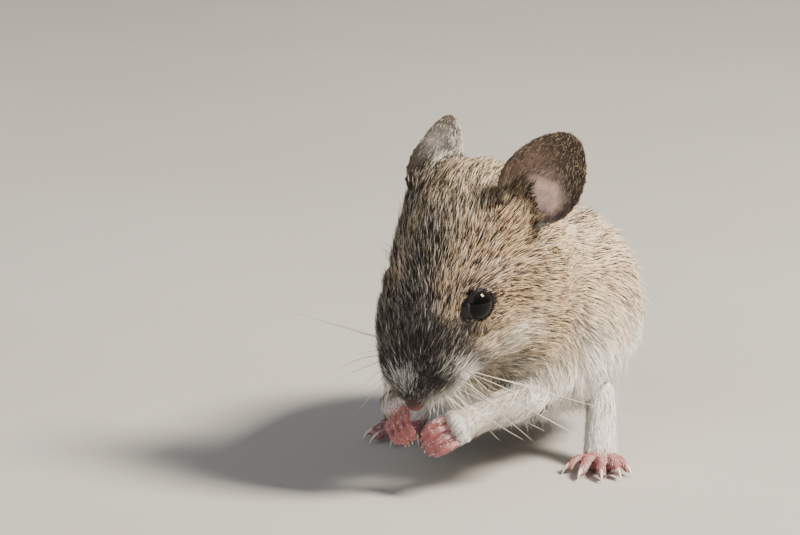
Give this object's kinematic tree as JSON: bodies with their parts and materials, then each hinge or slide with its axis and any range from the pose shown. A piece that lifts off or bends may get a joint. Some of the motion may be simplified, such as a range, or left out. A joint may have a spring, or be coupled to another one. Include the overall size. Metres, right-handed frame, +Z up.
{
  "type": "field mouse",
  "caption": "Life-size still model of a young long-tailed field mouse, crouched on its hind feet with head bowed and forepaws held to its mouth.",
  "frame": {"origin": "on the floor, under the middle of the box round the whole animal", "axes": "+Z up, -Y the way the body faces, +X the animal's left; the tail runs out along +Y and to its right"},
  "size_m": [0.0556, 0.109, 0.0446],
  "materials": {
    "brown_coat": "soft agouti fur, brown-grey with dark bases and buff tips",
    "pale_coat": "soft fur, white with grey bases",
    "bare_skin": "bare pink skin of nose, paws and feet",
    "ear_skin": "thin naked skin with very short hairs, dark brown with a pink hollow",
    "tail_skin": "ringed scaly skin with short bristles, dark above and pale below",
    "eye": "glossy black, wet"
  },
  "bodies": {
    "root": {"belly": "pale_coat", "chest": "brown_coat", "ear_left": "ear_skin", "ear_right": "ear_skin", "eye_left": "eye", "eye_right": "eye", "forearm_left": "pale_coat", "forearm_right": "pale_coat", "forepaw_left": "bare_skin", "forepaw_right": "bare_skin", "head": "brown_coat", "hind_foot_left": "bare_skin", "hind_foot_right": "bare_skin", "lower_jaw": "pale_coat", "muzzle": "brown_coat", "neck": "brown_coat", "nose": "bare_skin", "rump": "brown_coat", "tail_1": "tail_skin", "tail_2": "tail_skin", "tail_3": "tail_skin", "tail_4": "tail_skin", "thigh_left": "brown_coat", "thigh_right": "brown_coat", "upper_arm_left": "brown_coat", "upper_arm_right": "brown_coat"}
  },
  "joints": []
}
